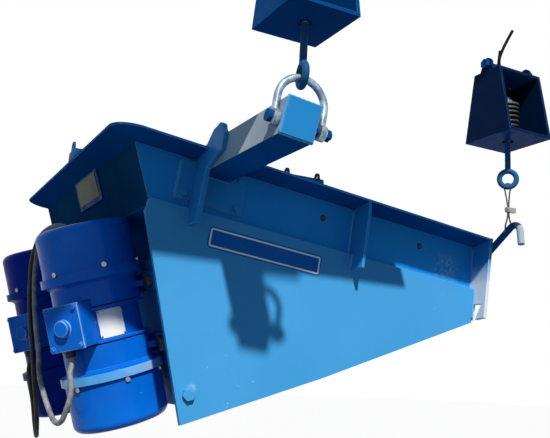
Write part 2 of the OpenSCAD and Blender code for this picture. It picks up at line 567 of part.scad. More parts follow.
// a stack of half discs at each end of a shaft
module weights(s) { color(steel) in_pan() drive() motor(s) for (z = [-1, 1]) translate([0, 0, z * (half + 60)]) difference() {
  union() {
    cylinder(r = 44, h = 72, center = true);
    for (k = [-1, 1]) translate([0, 0, k * 19]) intersection() {
      cylinder(r = cover_r - 18, h = 34, center = true);
      translate([-200, -100, -20]) cube([200, 200, 40]);
    }
  }
  cylinder(r = shaft_r + 0.02, h = 80, center = true);
} }
module weights_near() weights(-1);
module weights_far() weights(1);

pan();
rim();
wall_ribs();
outlet_flange();
frame_near();
frame_far();
floor_ribs();
drive_plate();
drive_webs();
cross_tubes();
frame_bolts();
arm_near();
arm_far();
arm_caps();
arm_gussets();
arm_pads();
shackles();
shackle_pins();
front_hooks();
slings();
sling_clips();
eye_rods();
spring_seats();
rod_nuts();
spring_rear_near();
spring_rear_far();
spring_front_near();
spring_front_far();
box_rear_near();
box_rear_far();
box_front_near();
box_front_far();
lifting_rope();
rope_pin();
motor_near();
motor_far();
stators();
bearings();
covers_near();
covers_far();
terminal_boxes();
terminal_lids();
junction_box();
cable_glands();
cable_near();
cable_far();
cover_screws();
foot_bolts();
rotor_near();
rotor_far();
weights_near();
weights_far();
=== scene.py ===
# %% [markdown]
# # A suspended vibratory feeder
#
# This lesson dresses the CAD model of a vibratory feeder. The machine is an
# open steel pan between two wedge side frames, with two unbalanced motors
# behind it, hung from four sprung hanger boxes. The CAD has the sizes and the
# moving parts. Blender adds what a drawing leaves out: paint and its wear,
# rounded edges, weld beads, wire, rope, plates and light.
#
# Everything is in metres, in the CAD's own frame: +Z is up, material runs
# towards +X, and the origin is the hanging hole of the near rear box.

# %% Load the frame
import bpy, bmesh, json, math
from mathutils import Matrix, Vector


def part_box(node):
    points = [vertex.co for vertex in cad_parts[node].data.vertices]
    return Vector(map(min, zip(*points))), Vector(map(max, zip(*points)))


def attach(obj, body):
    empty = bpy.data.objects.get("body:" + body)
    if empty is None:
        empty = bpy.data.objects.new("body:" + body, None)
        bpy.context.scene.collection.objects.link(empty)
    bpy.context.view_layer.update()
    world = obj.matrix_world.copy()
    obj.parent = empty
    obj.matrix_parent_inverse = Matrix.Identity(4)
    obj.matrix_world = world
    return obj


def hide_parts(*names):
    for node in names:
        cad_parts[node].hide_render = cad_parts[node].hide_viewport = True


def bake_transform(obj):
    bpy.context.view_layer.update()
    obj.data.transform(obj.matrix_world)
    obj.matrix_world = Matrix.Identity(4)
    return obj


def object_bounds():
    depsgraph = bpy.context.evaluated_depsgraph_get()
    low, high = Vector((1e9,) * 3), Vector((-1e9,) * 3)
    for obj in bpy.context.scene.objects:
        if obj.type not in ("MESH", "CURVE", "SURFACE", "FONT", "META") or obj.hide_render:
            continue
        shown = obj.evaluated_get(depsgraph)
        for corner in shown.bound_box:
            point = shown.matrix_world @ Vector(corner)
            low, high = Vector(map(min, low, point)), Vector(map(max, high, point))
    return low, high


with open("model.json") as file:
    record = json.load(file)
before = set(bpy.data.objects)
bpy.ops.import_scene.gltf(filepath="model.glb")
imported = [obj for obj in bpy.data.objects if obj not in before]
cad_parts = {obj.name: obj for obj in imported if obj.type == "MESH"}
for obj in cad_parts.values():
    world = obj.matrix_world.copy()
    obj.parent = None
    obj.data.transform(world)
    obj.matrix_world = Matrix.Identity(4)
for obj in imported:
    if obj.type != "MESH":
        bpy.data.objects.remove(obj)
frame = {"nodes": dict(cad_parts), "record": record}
cad_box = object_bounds()
nodes = frame["nodes"]
print(len(nodes), "CAD nodes in", [[round(v, 3) for v in c] for c in cad_box])

# %% [markdown]
# ## Two working frames
#
# The pan slopes 6.9 degrees and the motor drive leans further, so almost no
# edge of the machine runs along X or Z. Rather than turning every new piece by
# hand, this lesson keeps two matrices. The pan frame measures along the pan,
# across it and square to its floor. The drive frame has its Z up the motor
# shafts. The drive frame and the machine's middle come from the record's
# joints, so they follow the CAD if a size there changes. The pan's slope and
# the rear end of its floor are given as numbers.

# %% Pan frame and drive frame
DECLINE = math.radians(6.9)
PAN_X, PAN_Z = -0.173984, -0.541897     # rear end of the pan's floor
MOTOR_Y = 0.255                         # from the middle to each motor shaft
joints = {j["name"]: j for j in frame["record"]["behaviour"]["joints"]}
shaft_near = Vector(joints["spin_near"]["pos_m"])
shaft_far = Vector(joints["spin_far"]["pos_m"])
shaft_axis = Vector(joints["spin_near"]["axis"]).normalized()
if shaft_axis.z < 0:
    shaft_axis.negate()
middle_y = (shaft_near.y + shaft_far.y) / 2
pan = Matrix.Translation((PAN_X, middle_y, PAN_Z)) @ Matrix.Rotation(DECLINE, 4, "Y")
side = Vector((0, 1, 0))
drive = Matrix.Translation((shaft_near + shaft_far) / 2) @ Matrix((
    (*side.cross(shaft_axis), 0), (*side, 0), (*shaft_axis, 0), (0, 0, 0, 1))).transposed()


def motor_frame(s):
    """Z up a motor's shaft, X towards the drive plate; s is -1 near, 1 far."""
    return drive @ Matrix.Translation((0, s * MOTOR_Y, 0))


print("shaft axis", [round(v, 3) for v in shaft_axis], "middle y", round(middle_y, 3))

# %% [markdown]
# ## The camera
#
# A hanging feeder is looked at from below its own height, from behind one
# rear corner. A long lens keeps the four hangers nearly parallel.
# The camera is placed by three turns: its heading, its tilt up, and a small
# roll, so that the pan leans a little in the view. A matrix built from the
# three directions avoids any doubt about the order of Euler angles.

# %% Camera
def place_camera(spot, heading, tilt, roll, lens, shift):
    """Stand the camera at spot; heading is from +Y towards +X, in radians."""
    right = Vector((math.cos(heading), -math.sin(heading), 0))
    ahead = Vector((math.sin(heading), math.cos(heading), 0))
    up = Vector((0, 0, 1))
    view = ahead * math.cos(tilt) + up * math.sin(tilt)
    lift = up * math.cos(tilt) - ahead * math.sin(tilt)
    x = right * math.cos(roll) + lift * math.sin(roll)
    y = lift * math.cos(roll) - right * math.sin(roll)
    data = bpy.data.cameras.new("camera")
    data.lens, data.sensor_width, data.shift_x = lens, 36, shift
    data.clip_end = 50
    camera = bpy.data.objects.new("camera", data)
    bpy.context.scene.collection.objects.link(camera)
    camera.matrix_world = Matrix(((*x, 0), (*y, 0), (*-view, 0), (*spot, 1))).transposed()
    bpy.context.scene.camera = camera
    return camera


camera = place_camera(spot=(-0.6936, -1.2515, -0.9152), heading=0.4830, tilt=0.19913,
                      roll=0.05164, lens=49.39, shift=-0.0064)
print("camera looks along", [round(v, 2) for v in -camera.matrix_world.col[2].to_3d()])

# %% [markdown]
# ## Motor cables
#
# Each motor has a stiff rubber lead. It leaves a gland under the terminal box,
# hangs in a loop, rises between the two motors and bends over into the
# junction box on the drive plate. A cable is one smooth line with a round
# section, so a Bezier curve with automatic handles is the natural tool: it
# passes through every point of the route, and Blender can measure it.

# %% Cable routes
mm = 0.001
LEAD_D, ROPE_D, SLING_D = 0.013, 0.009, 0.0044
plate_frame = drive @ Matrix.Translation((0.069, 0, -0.0096))   # at the drive plate
turn40 = Matrix.Rotation(math.radians(40), 4, "Z")      # the terminal boxes' turn


def gland_spot(s):
    """Where a lead leaves the terminal box of motor s, in the plate's frame."""
    from_shaft = turn40 @ Vector((-127.1, 14, 0))
    return from_shaft + Vector((-69, s * 255, -30.4))


def leaving(s):
    """The first points of a lead, straight out of its gland."""
    spot = gland_spot(s)
    return [spot + Vector((p * 0.85, p * 0.53, q))
            for p, q in [(0, -2), (0, -18), (0, -28), (-14, -56), (-18, -88)]]


def entering(y):
    """The last points, straight down into the junction box."""
    return [Vector((8.7, y, z)) for z in (160, 130, 100)]


near_route = leaving(-1) + [Vector(p) for p in [
    (-212, -326, -166), (-222, -300, -188), (-228, -262, -188), (-229, -222, -154),
    (-225, -180, -118), (-215, -125, -81), (-194, -62, -30), (-178, -14, 47),
    (-162, 4, 125), (-139, 16, 208), (-114, 18, 264), (-77, 4, 294), (-35, -12, 278),
    (2, -20, 228)]] + entering(-22)
far_route = leaving(1) + [Vector(p) for p in [
    (-198, 154, -180), (-206, 140, -230), (-214, 108, -261), (-217, 70, -245),
    (-210, 48, -189), (-202, 38, -110), (-191, 34, -20), (-179, 34, 69),
    (-160, 38, 159), (-134, 46, 235), (-95, 48, 287), (-51, 40, 297), (-10, 28, 263),
    (11, 23, 208)]] + entering(22)
near_route, far_route = ([plate_frame @ (p * mm) for p in r] for r in (near_route, far_route))
print(len(near_route), "and", len(far_route), "points; near cable starts at",
      [round(v, 3) for v in near_route[0]])

# %% Two cables as curves
def round_line(name, points, diameter, finish, body, closed=False, detail=3):
    """A round wire, rope or cable through the points."""
    data = bpy.data.curves.new(name, "CURVE")
    data.dimensions = "3D"
    data.bevel_depth, data.bevel_resolution = diameter / 2, detail
    data.resolution_u, data.use_fill_caps = 6, True
    spline = data.splines.new("BEZIER")
    spline.bezier_points.add(len(points) - 1)
    for knot, p in zip(spline.bezier_points, points):
        knot.co, knot.handle_left_type, knot.handle_right_type = p, "AUTO", "AUTO"
    spline.use_cyclic_u, spline.use_smooth = closed, True
    obj = bpy.data.objects.new(name, data)
    bpy.context.scene.collection.objects.link(obj)
    bpy.context.view_layer.update()
    data.materials.append(finish)
    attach(obj, body)
    print(name, "is", round(spline.calc_length(), 4), "m long")
    return obj, spline.calc_length()


# %% [markdown]
# ## Paint
#
# The pan is sprayed with one coat of blue enamel over shot-blasted plate. Such
# paint is never one colour: it is thicker in places, dusty on flats, rubbed
# pale along its edges, and knocked off in small chips that show primer. The
# recipe layers four things: a cloudy noise between a darker and a lighter
# blue, long faint streaks, an edge mask that the meshes carry as an attribute
# named "wear", and chips from a fine noise cut off hard. Small bumps give the
# orange-peel surface of sprayed enamel. All of it reads Object coordinates,
# so it stays in place as the machine moves.

# %% Shader helpers
def material(name):
    """A new material, its node tree and its Principled shader."""
    mat = bpy.data.materials.new(name)
    mat.use_nodes = True
    return mat, mat.node_tree, mat.node_tree.nodes["Principled BSDF"]


def node(tree, kind, feeds=(), **values):
    """Add a node; feeds pairs its inputs with sockets or values."""
    made = tree.nodes.new(kind)
    for key, value in values.items():
        setattr(made, key, value)
    for key, value in feeds:
        if isinstance(value, bpy.types.NodeSocket):
            tree.links.new(value, made.inputs[key])
        else:
            made.inputs[key].default_value = value
    return made


def noise(tree, coords, scale, detail=3.0, rough=0.55, stretch=None):
    """Noise in object space, drawn out along an axis if stretch is given."""
    if stretch:
        coords = node(tree, "ShaderNodeMapping",
                      [("Vector", coords), ("Scale", stretch)]).outputs[0]
    return node(tree, "ShaderNodeTexNoise", [("Vector", coords), ("Scale", scale),
                                             ("Detail", detail), ("Roughness", rough)]).outputs["Fac"]


def ramp(tree, fac, *stops):
    """A colour ramp; each stop is a position and a grey or a colour."""
    made = node(tree, "ShaderNodeValToRGB", [("Fac", fac)])
    points = made.color_ramp.elements
    while len(points) < len(stops):
        points.new(0.5)
    for point, (at, value) in zip(points, stops):
        point.position = at
        point.color = (value,) * 3 + (1,) if isinstance(value, (int, float)) else (*value, 1)
    return made.outputs["Color"]


def blend(tree, fac, a, b):
    """Mix two colours, each a socket or a triple."""
    made = node(tree, "ShaderNodeMix", data_type="RGBA")
    for slot, value in ((0, fac), (6, a), (7, b)):
        if isinstance(value, bpy.types.NodeSocket):
            tree.links.new(value, made.inputs[slot])
        else:
            made.inputs[slot].default_value = value if slot == 0 else (*value, 1)
    return made.outputs[2]


def times(tree, a, b):
    """The product of two sockets or numbers."""
    return node(tree, "ShaderNodeMath", [(0, a), (1, b)], operation="MULTIPLY").outputs[0]


def bumped(tree, shader, height, depth, strength, below=None):
    """A bump on top of the one below; the shader takes the last one made."""
    feeds = [("Height", height), ("Distance", depth), ("Strength", strength)]
    if below:
        feeds.append(("Normal", below))
    out = node(tree, "ShaderNodeBump", feeds).outputs[0]
    tree.links.new(out, shader.inputs["Normal"])
    return out


print("shader helpers ready")

# %% Enamel
def enamel(name, dark, light, edge, chip, rough=0.38, cast=0.0, dust=0.05, coat=0.0,
           gloss=0.03, scuffs=(), pale=None):
    """Sprayed enamel on plate, or on a casting if cast is above 0.

    scuffs lists places rubbed bare, as spot, reach and amount. pale is an
    axis, where the fading starts and ends along it, and the tint it ends in.
    """
    mat, tree, shader = material(name)
    at = node(tree, "ShaderNodeTexCoord").outputs["Object"]
    cloud = noise(tree, at, 3.2, 4, 0.55)
    streak = noise(tree, at, 9, 3, 0.6, stretch=(2.2, 2.2, 0.35))
    colour = ramp(tree, cloud, (0.33, dark), (0.68, light))
    colour = blend(tree, times(tree, ramp(tree, streak, (0.45, 0.0), (0.80, 1.0)), dust), colour,
                   tuple(0.7 * c + 0.05 for c in light))
    worn = node(tree, "ShaderNodeAttribute", attribute_name="wear").outputs["Fac"]
    rub = times(tree, worn, ramp(tree, noise(tree, at, 26, 4, 0.65), (0.36, 0.15), (0.58, 1.0)))
    colour = blend(tree, times(tree, rub, 0.75), colour, edge)
    fine = noise(tree, at, 115, 4, 0.7)
    patch = noise(tree, at, 7.0, 2, 0.5)
    chips = times(tree, ramp(tree, fine, (0.685, 0.0), (0.70, 1.0)),
                  ramp(tree, patch, (0.55, 0.0), (0.66, 1.0)))
    colour = blend(tree, chips, colour, chip)
    for spot, reach, amount in scuffs:
        away = node(tree, "ShaderNodeVectorMath", [(0, at), (1, pan @ Vector(spot))],
                    operation="DISTANCE").outputs["Value"]
        share = node(tree, "ShaderNodeMath", [(0, away), (1, reach)], operation="DIVIDE").outputs[0]
        near = ramp(tree, share, (0.35, 1.0), (1.0, 0.0))
        flakes = ramp(tree, noise(tree, at, 95, 5, 0.75), (0.50, 0.0), (0.56, 1.0))
        colour = blend(tree, times(tree, times(tree, near, flakes), amount), colour, chip)
    if pale:
        axis, start, end, tint = pale
        across = node(tree, "ShaderNodeSeparateXYZ", [("Vector", at)]).outputs[axis]
        wobble = times(tree, noise(tree, at, 24, 4, 0.65), 0.03)
        place = node(tree, "ShaderNodeMath", [(0, across), (1, wobble)], operation="ADD").outputs[0]
        share = node(tree, "ShaderNodeMapRange",
                     [("Value", place), ("From Min", start), ("From Max", end)]).outputs[0]
        colour = blend(tree, share, colour, tint)
    tree.links.new(colour, shader.inputs["Base Color"])
    tree.links.new(ramp(tree, noise(tree, at, 17, 3), (0.3, rough - 0.08), (0.7, rough + 0.14)),
                   shader.inputs["Roughness"])
    shader.inputs["Coat Weight"].default_value = coat
    shader.inputs["Coat Roughness"].default_value = 0.18
    shader.inputs["Specular IOR Level"].default_value = gloss
    orange_peel = 0.00012
    skin = bumped(tree, shader, noise(tree, at, 420, 2), orange_peel, 0.6)
    if cast:
        skin = bumped(tree, shader, noise(tree, at, 130, 3, 0.6), cast, 0.7, skin)
    bumped(tree, shader, chips, 0.0003, -0.8, skin)
    return mat


print("enamel recipe ready")

# %% Paints of the pan
PAN_BLUE = (0.022, 0.262, 0.605), (0.030, 0.290, 0.650)
BLUE_EDGE, GREY_CHIP = (0.17, 0.42, 0.70), (0.30, 0.42, 0.50)
pan_paint = enamel("pan_enamel", *PAN_BLUE, BLUE_EDGE, GREY_CHIP)
wall_paint = enamel("wall_enamel", (0.015, 0.275, 0.680), (0.022, 0.310, 0.740), BLUE_EDGE,
                    (0.45, 0.55, 0.60), scuffs=[((0.878, -0.480, 0.040), 0.055, 0.5)])
# A darker copy of the pan blue for faces that look to the rear: painted shade.
rear_shade_paint = enamel("rear_painted_shade_enamel", (0.004, 0.050, 0.120), (0.010, 0.095, 0.200),
                         (0.06, 0.16, 0.26), (0.20, 0.24, 0.26), gloss=0.0)
# A darker copy of the pan blue for faces that look down: painted shade.
underside_shade_paint = enamel("underside_painted_shade_enamel", (0.001, 0.085, 0.300), (0.003, 0.120, 0.380),
                     (0.05, 0.24, 0.48), (0.20, 0.30, 0.36), gloss=0.0)
# A paler, redder copy of the pan blue for the side frames: the blue is the paint's, the paleness a painted
# sheen.
side_sheen_paint = enamel("side_enamel", (0.052, 0.315, 0.630), (0.066, 0.340, 0.670), (0.24, 0.47, 0.72),
                    (0.42, 0.58, 0.68), scuffs=[((0.183, -0.5, -0.40), 0.016, 0.5)])
# The pale fade towards the flange's bottom is a painted highlight.
flange_paint = enamel("flange_enamel", *PAN_BLUE, (0.50, 0.60, 0.66), (0.45, 0.50, 0.52),
                      pale=("Z", -0.570, -0.632, (0.66, 0.72, 0.76)))
# A pale grey copy of the pan blue for the near arm's rear side: painted sky sheen.
arm_sheen_paint = enamel("arm_painted_sheen_enamel", (0.14, 0.26, 0.38), (0.52, 0.56, 0.60), (0.40, 0.50, 0.60),
                   (0.50, 0.48, 0.45), dust=0.4, gloss=0.0)
# The beads take a paler blue than the pan: partly the weld's own paint, partly a painted highlight for the
# bright line along the ledge.
weld_highlight_paint = enamel("weld_painted_highlight_enamel", (0.07, 0.35, 0.65), (0.13, 0.43, 0.72), BLUE_EDGE, GREY_CHIP,
                    cast=0.0003)
print("pan:", pan_paint.name, wall_paint.name, side_sheen_paint.name, flange_paint.name)

# %% Paints of the hangers and motors
CAST = 0.0004       # depth of the casting's skin
box_paint = enamel("box_enamel", (0.002, 0.056, 0.205), (0.003, 0.080, 0.280),
                   (0.03, 0.20, 0.45), (0.12, 0.18, 0.24), gloss=0.01)
# A much darker copy of the box blue for the front boxes: painted shade.
front_box_shade_paint = enamel("front_box_painted_shade_enamel", (0.0010, 0.011, 0.046), (0.0018, 0.017, 0.062),
                         (0.02, 0.12, 0.27), (0.05, 0.08, 0.12), dust=0.03, gloss=0.02)
hanger_paint = enamel("hanger_enamel", (0.008, 0.065, 0.18), (0.030, 0.14, 0.29),
                      (0.10, 0.30, 0.48), (0.20, 0.20, 0.20), rough=0.42, cast=CAST)
hook_paint = enamel("hook_enamel", (0.005, 0.055, 0.17), (0.010, 0.10, 0.26), (0.30, 0.40, 0.46),
                    (0.20, 0.20, 0.20), rough=0.45, cast=CAST,
                    pale=("Y", 0.262, 0.246, (0.36, 0.43, 0.48)))
# The motor paint's pale edge colour is partly paint rubbed off the rims, partly a painted highlight along
# them.
motor_paint = enamel("motor_enamel", (0.0008, 0.125, 0.58), (0.0015, 0.185, 0.76),
                     (0.30, 0.56, 0.86), (0.25, 0.30, 0.36), rough=0.24, cast=CAST,
                     dust=0.06, coat=0.04, gloss=0.07)
# A pale copy of the motor blue for the near motor's lower flange: a painted highlight.
flange_highlight_paint = enamel("flange_painted_highlight_enamel", (0.08, 0.36, 0.74), (0.66, 0.78, 0.90),
                    (0.62, 0.74, 0.86), (0.30, 0.36, 0.42), rough=0.24, cast=CAST,
                    coat=0.14, gloss=0.10)
# A much darker copy of the motor blue for the far motor: painted shade.
far_motor_shade_paint = enamel("far_motor_painted_shade_enamel", (0.0005, 0.020, 0.26), (0.001, 0.034, 0.35),
                         (0.08, 0.22, 0.55), (0.20, 0.24, 0.30), rough=0.30, cast=CAST,
                         dust=0.04, gloss=0.03)
print("hangers:", box_paint.name, hanger_paint.name, "motors:", motor_paint.name)

# %% [markdown]
# ## Metal, rubber and rope
#
# Bare metal on this machine is of three kinds. The shackles are hot-dip
# galvanised: pale, mottled with flat crystals, dull in patches. Nuts, bolts
# and washers are zinc plated and have picked up brown stains. The springs are
# dark oiled wire. A Voronoi pattern gives galvanising its crystals, and noise
# moves the roughness of the others about. The leads are matt rubber, the near
# one pale grey and the far one black.

# %% Metals
def metal(name, dark, light, rough, stain, crystals=0.0, metallic=1.0,
          brown=(0.10, 0.055, 0.03)):
    """Bare metal with brown stains; crystals is the scale of galvanising."""
    mat, tree, shader = material(name)
    at = node(tree, "ShaderNodeTexCoord").outputs["Object"]
    tone = noise(tree, at, 38, 4, 0.6)
    if crystals:
        cells = node(tree, "ShaderNodeTexVoronoi", [("Vector", at), ("Scale", crystals)])
        grey = node(tree, "ShaderNodeSeparateColor",
                    [("Color", cells.outputs["Color"])]).outputs[0]
        tone = blend(tree, 0.55, ramp(tree, tone, (0, 0), (1, 1)), ramp(tree, grey, (0, 0), (1, 1)))
    colour = ramp(tree, tone, (0.3, dark), (0.7, light))
    stains = times(tree, ramp(tree, noise(tree, at, 21, 5, 0.65), (0.52, 0.0), (0.68, 1.0)), stain)
    colour = blend(tree, stains, colour, brown)
    tree.links.new(colour, shader.inputs["Base Color"])
    tree.links.new(ramp(tree, noise(tree, at, 60, 3), (0.3, rough - 0.08), (0.7, rough + 0.12)),
                   shader.inputs["Roughness"])
    shader.inputs["Metallic"].default_value = metallic
    bumped(tree, shader, noise(tree, at, 300, 3, 0.6), 0.00025, 0.6)
    return mat


zinc = metal("galvanised", (0.17, 0.23, 0.30), (0.38, 0.47, 0.56), 0.44, 0.25, crystals=110,
             metallic=0.75, brown=(0.16, 0.17, 0.18))
dull_steel = metal("dull_steel", (0.045, 0.05, 0.06), (0.12, 0.13, 0.145), 0.5, 0.5)
steel = metal("plated_steel", (0.20, 0.205, 0.215), (0.40, 0.405, 0.41), 0.40, 0.55)
wire = metal("oiled_wire", (0.020, 0.023, 0.022), (0.075, 0.080, 0.078), 0.45, 0.35, metallic=0.6)
sling_wire = metal("sling_wire", (0.030, 0.028, 0.026), (0.12, 0.11, 0.10), 0.5, 0.6, metallic=0.7)
iron = metal("primed_iron", (0.16, 0.165, 0.175), (0.27, 0.28, 0.295), 0.6, 0.3, metallic=0.2)
print("metals:", ", ".join(m.name for m in (zinc, dull_steel, steel, wire, sling_wire, iron)))

# %% Rubber and rope
def soft_jacket(name, dark, light, rough, grain, gloss=0.2):
    """Matt rubber or fibre with dust on it; grain is the scale of its bumps."""
    mat, tree, shader = material(name)
    at = node(tree, "ShaderNodeTexCoord").outputs["Object"]
    dusty = ramp(tree, noise(tree, at, 30, 4, 0.6), (0.4, dark), (0.75, light))
    tree.links.new(dusty, shader.inputs["Base Color"])
    tree.links.new(ramp(tree, noise(tree, at, 45), (0.3, rough - 0.1), (0.7, rough + 0.1)),
                   shader.inputs["Roughness"])
    shader.inputs["Specular IOR Level"].default_value = gloss
    bumped(tree, shader, noise(tree, at, grain, 3), 0.0003, 0.5)
    return mat


rubber = soft_jacket("cable_rubber", (0.006, 0.007, 0.008), (0.030, 0.032, 0.034), 0.52, 240)
# Pale grey rubber for the near lead.
grey_cable_rubber = soft_jacket("grey_cable_rubber", (0.15, 0.158, 0.155), (0.50, 0.51, 0.48), 0.62, 240)
rope_fibre = soft_jacket("rope_fibre", (0.004, 0.005, 0.009), (0.020, 0.023, 0.030), 0.8, 600,
                         gloss=0.04)
print("soft:", rubber.name, grey_cable_rubber.name, rope_fibre.name)

# %% [markdown]
# ## Laying the cables and the rope
#
# Each lead is drawn through its route with its own diameter, and its length is
# measured. Both ends of each lead go back into the machine. The lifting rope is
# a cut-off bight left hanging on the bolt of one hanger box.

# %% Two motor leads
for name, route, finish in (("cable_near", near_route, grey_cable_rubber),
                            ("cable_far", far_route, rubber)):
    lead, length = round_line("lead_" + name[6:], route, LEAD_D, finish, "trough", detail=4)
    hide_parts(name)

# %% Lifting rope
pin = (Vector(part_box("rope_pin")[0]) + Vector(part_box("rope_pin")[1])) / 2
box = [Vector(c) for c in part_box("box_front_near")]
pin = Vector(((box[0].x + box[1].x) / 2, pin.y, pin.z))
wrap = 12.8         # the rope's middle from the pin's, in mm
turns = [(-42 + (t - 180) / 9, wrap * math.cos(math.radians(t)), wrap * math.sin(math.radians(t)))
         for t in range(180, 361, 30)]
rope_route = [pin + Vector(p) * mm for p in
              [(2, -22, 116), (-8, -15, 92), (-30, -12.3, 48), (-42, -12.8, 18), *turns,
               (-19, 13.1, 22), (-12, 13.8, 62)]]
rope, length = round_line("lifting_rope_bight", rope_route, ROPE_D, rope_fibre, "root")
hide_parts("lifting_rope")

# %% [markdown]
# ## Dressing the CAD plates
#
# A flame-cut and welded plate has no knife edges: grinding and paint leave a
# radius of a millimetre or so, and that radius is what catches the light. The
# CAD has sharp edges, so each plate is copied, its loose triangles merged, flat
# faces joined, and every edge sharper than a set angle bevelled. The bevel
# operator hands back the faces it made, and those get the value 1 in the
# attribute "wear", which the paint reads. On the pan and rim, sides that look
# down or to the rear are given darker paint, which is painted shade. On the near
# arm the lower side is darkened the same way, and the rear side is made paler,
# which is a painted sheen. The copy then stands in for its CAD node. Hidden nodes
# keep their CAD mesh and only change material.

# %% Finishing helpers
def verts_of(geom):
    return [g for g in geom if isinstance(g, bmesh.types.BMVert)]


def edges_of(geom):
    return [g for g in geom if isinstance(g, bmesh.types.BMEdge)]


def finished(name, bm, finishes, body, stands_for=(), smooth=True):
    """Turn a bmesh into an object with its material and body; it hides the nodes it stands for."""
    mesh = bpy.data.meshes.new(name)
    for face in bm.faces:
        face.smooth = smooth
    bm.to_mesh(mesh)
    bm.free()
    for finish in finishes if isinstance(finishes, (list, tuple)) else [finishes]:
        mesh.materials.append(finish)
    obj = bpy.data.objects.new(name, mesh)
    bpy.context.scene.collection.objects.link(obj)
    if smooth:
        obj.modifiers.new("even_normals", "WEIGHTED_NORMAL").keep_sharp = True
    if body:
        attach(obj, body)
    if stands_for:
        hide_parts(*([stands_for] if isinstance(stands_for, str) else stands_for))
    return obj


print("bmesh helpers ready")

# %% Softened edges
def soften(bm, radius, angle=28, steps=2):
    """Bevel every edge sharper than the angle and mark the new faces as worn."""
    wear = bm.faces.layers.float.get("wear") or bm.faces.layers.float.new("wear")
    sharp = [e for e in bm.edges if e.is_manifold and e.calc_face_angle(0) > math.radians(angle)]
    made = bmesh.ops.bevel(bm, geom=sharp, offset=radius, offset_type="OFFSET", affect="EDGES",
                           segments=steps, profile=0.5, material=-1, clamp_overlap=True)
    for face in made["faces"]:
        face[wear] = 1.0
    return len(sharp)


bodies = {n: b for b, names in frame["record"]["behaviour"]["bodies"].items() for n in names}


def dressed(name, finish, radius, angle=28, steps=2, sides=()):
    """A softened copy of a CAD node. Sides that look a given way get their own finish."""
    bm = bmesh.new()
    bm.from_mesh(nodes[name].data)
    bmesh.ops.remove_doubles(bm, verts=bm.verts, dist=2e-6)
    bmesh.ops.dissolve_limit(bm, angle_limit=math.radians(0.3), verts=bm.verts, edges=bm.edges)
    count = soften(bm, radius, angle, steps)
    bm.normal_update()
    for number, (way, other) in enumerate(sides, 1):
        for face in bm.faces:
            if face.normal.dot(Vector(way)) > 0.8:
                face.material_index = number
    obj = finished(name + "_finished", bm, [finish] + [other for way, other in sides],
                   bodies[name], name)
    print(name, "->", count, "edges softened,", len(obj.data.polygons), "faces")


# %% Pan, rim, ribs and frames
rear, down = (-1, 0, 0), (0, 0, -1)
PLATE_EDGE = 0.0014     # radius of the edges of cut plate
# The rear and lower sides of the pan and rim take the darker copies: painted shade.
dressed("pan", wall_paint, PLATE_EDGE, sides=[(rear, rear_shade_paint), (down, underside_shade_paint)])
dressed("rim", pan_paint, PLATE_EDGE, sides=[(rear, underside_shade_paint), (down, underside_shade_paint)])
dressed("outlet_flange", flange_paint, PLATE_EDGE)
# The side frames, and later the bolts on them, take the paler copy: painted sheen.
for name in ("frame_near", "frame_far"):
    dressed(name, side_sheen_paint, 0.0016)
for name in ("wall_ribs", "floor_ribs", "drive_plate", "drive_webs",
             "arm_far", "arm_caps", "arm_gussets", "arm_pads"):
    dressed(name, pan_paint, PLATE_EDGE)
# The near arm's rear side takes the painted sheen, and its lower side the painted shade.
dressed("arm_near", pan_paint, PLATE_EDGE, sides=[(rear, arm_sheen_paint), (down, underside_shade_paint)])
dressed("cross_tubes", pan_paint, 0.001, 50)

# %% Hanger boxes, eyes and hooks
for name in ("box_rear_near", "box_rear_far", "box_front_near", "box_front_far"):
    # The front boxes take the darker copy, painted shade, on all but their lower faces.
    paint = box_paint if "rear" in name else front_box_shade_paint
    dressed(name, paint, 0.0012, sides=[(down, box_paint)])
dressed("eye_rods", hanger_paint, 0.0012, 50)
dressed("front_hooks", hook_paint, 0.0012, 50)
for name, finish, slot in (
        ("shackles", zinc, "zinc"), ("shackle_pins", box_paint, "box_paint"),
        ("sling_clips", steel, "steel"), ("spring_seats", dull_steel, "steel"),
        ("rod_nuts", steel, "steel"), ("rope_pin", box_paint, "box_paint"),
        ("frame_bolts", side_sheen_paint, "pan_paint")):
    dressed(name, finish, 0.0008, 40)

# %% Motors
for name in ("motor_near", "motor_far", "covers_near", "covers_far",
             "terminal_boxes", "terminal_lids", "junction_box"):
    # The far motor and its covers take the darker copy: painted shade.
    paint = far_motor_shade_paint if "far" in name else motor_paint
    dressed(name, paint, 0.0022, 34, 3)

# %% Painted highlight on the lower flange of the near motor
BAND_R, BAND_Z = 0.122, -0.105      # the flange is outside the one, below the other
to_shaft = motor_frame(-1).inverted()
housing = bpy.data.objects["motor_near_finished"].data
# The flange's faces take the pale paint: a painted highlight.
housing.materials.append(flange_highlight_paint)
for face in housing.polygons:
    place = to_shaft @ face.center
    if math.hypot(place.x, place.y) > BAND_R and place.z < BAND_Z:
        face.material_index = 1
print(sum(face.material_index for face in housing.polygons), "faces on the flange given a painted highlight")

# %% Screws, glands and hidden parts
for name, finish in (("cover_screws", steel), ("foot_bolts", dull_steel)):
    dressed(name, finish, 0.0006, 40)
dressed("cable_glands", rubber, 0.0008, 40)
hidden = {"stators": iron, "bearings": steel, "rotor_near": steel, "rotor_far": steel,
          "weights_near": iron, "weights_far": iron}
for name, finish in hidden.items():
    for slot in nodes[name].material_slots:
        slot.material = finish
print("inside parts finished:", ", ".join(hidden))

# %% [markdown]
# ## Springs
#
# A hanger spring is a round bar wound cold. Its end turns are closed, so each
# lies on the next, and ground flat to stand square on the base and under the
# washer. Spin does this well: it turns a round section about the axis while
# sliding it along, which is a screw. Three spins in a row give the closed end,
# the open turns and the other closed end, and two flat cuts do the grinding.

